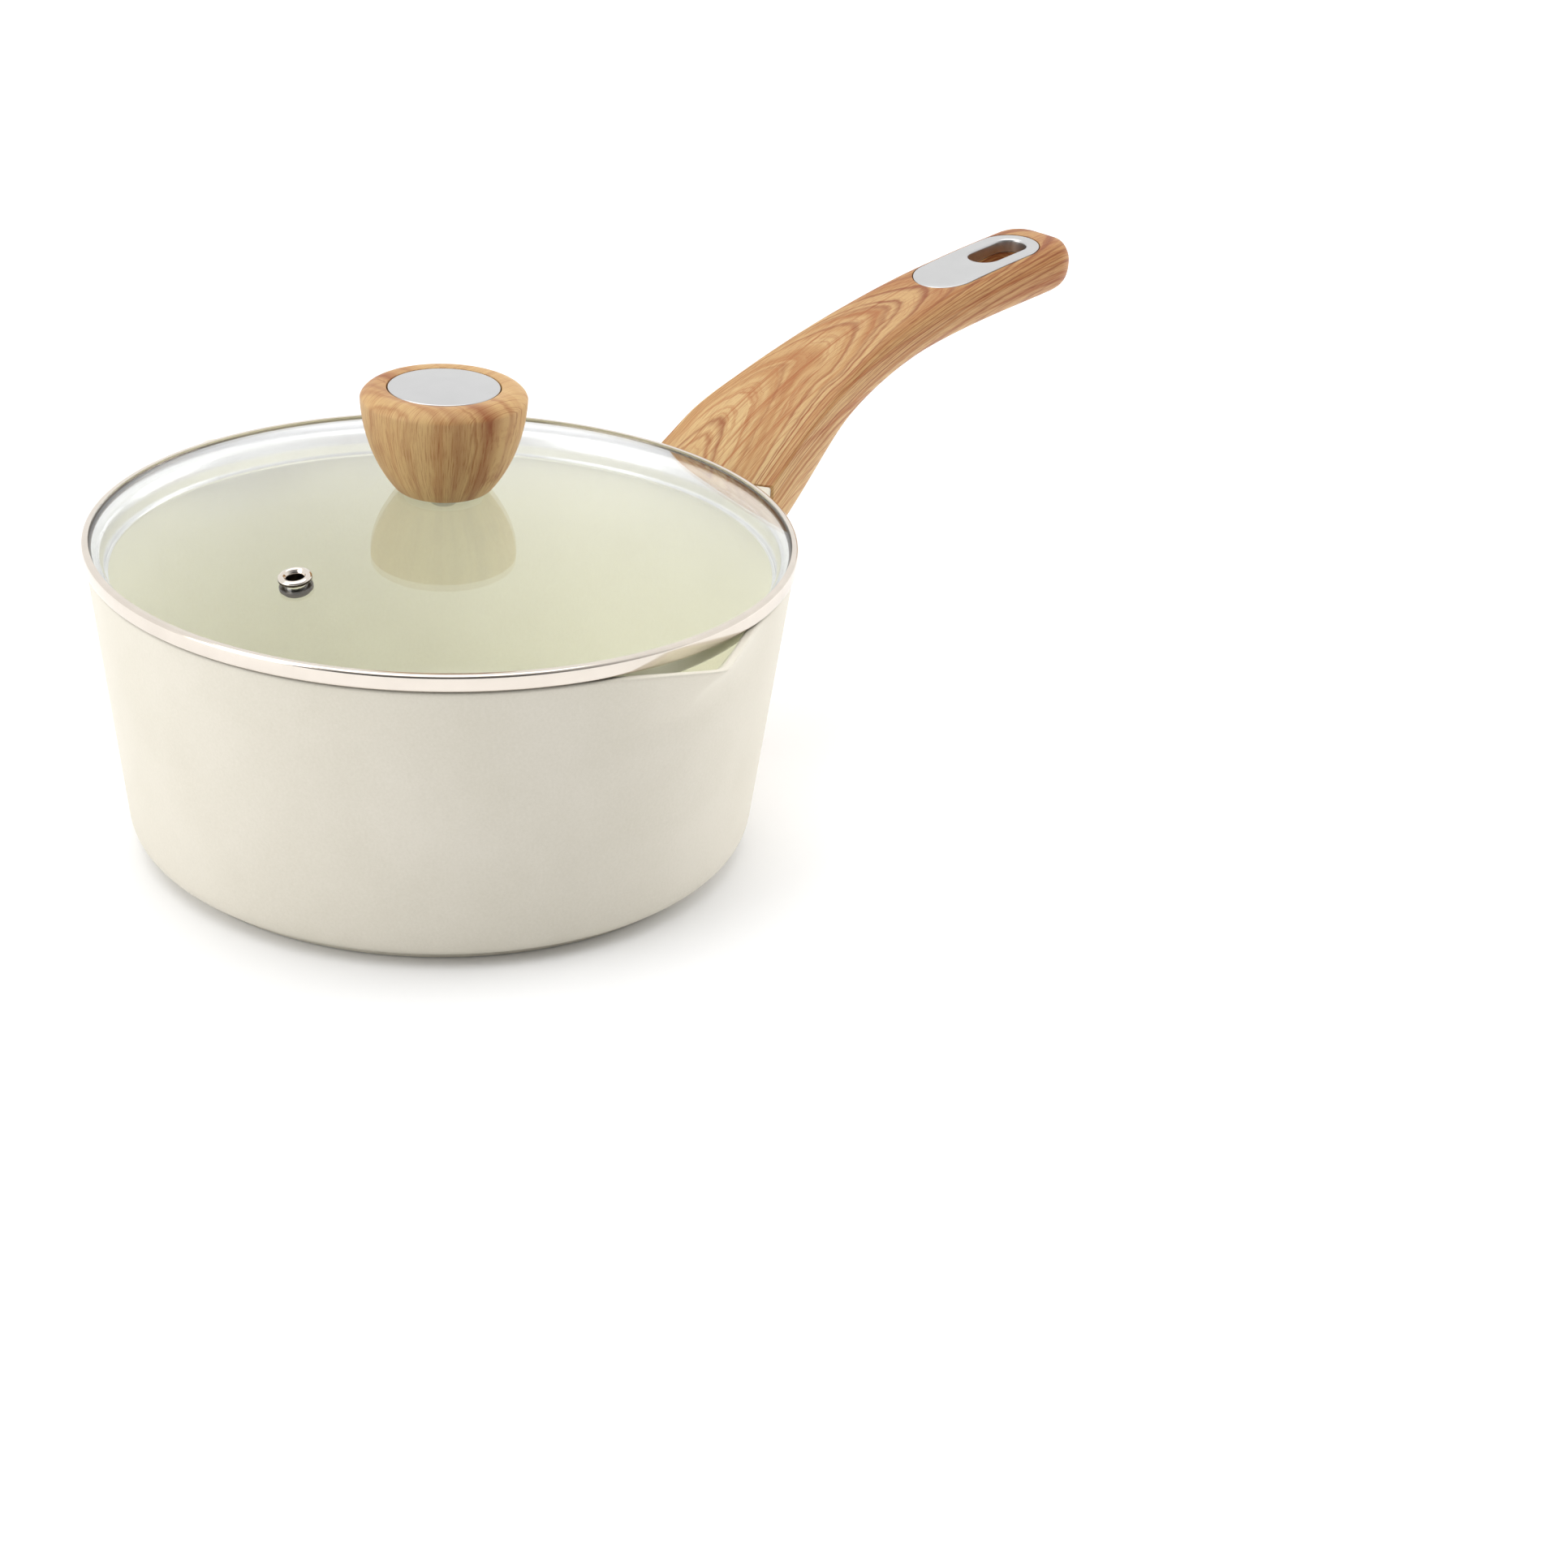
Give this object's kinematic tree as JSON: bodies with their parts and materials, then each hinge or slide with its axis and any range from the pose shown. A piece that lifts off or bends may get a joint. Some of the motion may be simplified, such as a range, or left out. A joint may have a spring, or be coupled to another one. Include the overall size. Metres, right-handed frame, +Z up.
{
  "type": "saucepan with glass lid",
  "caption": "Tapered cast saucepan with two pouring lips, a rising wood-look handle with a hanging loop, and a domed glass lid with a steel rim, vent and knob that lifts off.",
  "frame": {"origin": "centre of the underside of the base, on the pot's axis", "axes": "+Z up along the pot's axis, +X out along the handle, pouring lips towards +Y and -Y"},
  "size_m": [0.3718, 0.2316, 0.1401],
  "materials": {
    "pot_coating": "matte ceramic coating",
    "induction_steel": "pressed, lightly brushed",
    "handle_wood_look": "moulded resin with a wood grain film, satin",
    "knob_wood_look": "moulded resin with a wood grain film, satin",
    "zinc_hardware": "zinc plated",
    "satin_metal": "satin",
    "rim_steel": "polished",
    "vent_metal": "polished",
    "lid_glass": "clear tempered",
    "insert_brass": "turned",
    "clear_silicone": "translucent silicone"
  },
  "bodies": {
    "pot": {"pot_body": "pot_coating", "induction_disc": "induction_steel", "handle_body": "handle_wood_look", "handle_screw": "zinc_hardware", "handle_lock_washer": "zinc_hardware", "hanger_plate": "satin_metal"},
    "lid": {"lid_rim_ring": "rim_steel", "lid_glass": "lid_glass", "vent_eyelet": "vent_metal", "vent_washer": "vent_metal", "knob_body": "knob_wood_look", "knob_cap_disc": "satin_metal", "knob_insert": "insert_brass", "knob_upper_gasket": "clear_silicone", "knob_lower_gasket": "clear_silicone", "knob_washer": "zinc_hardware", "knob_screw": "zinc_hardware"}
  },
  "joints": [
    {"name": "lid_lift", "type": "slide", "parent": "pot", "child": "lid", "axis": [0, 0, 1], "range_m": [0, 0.15]}
  ]
}
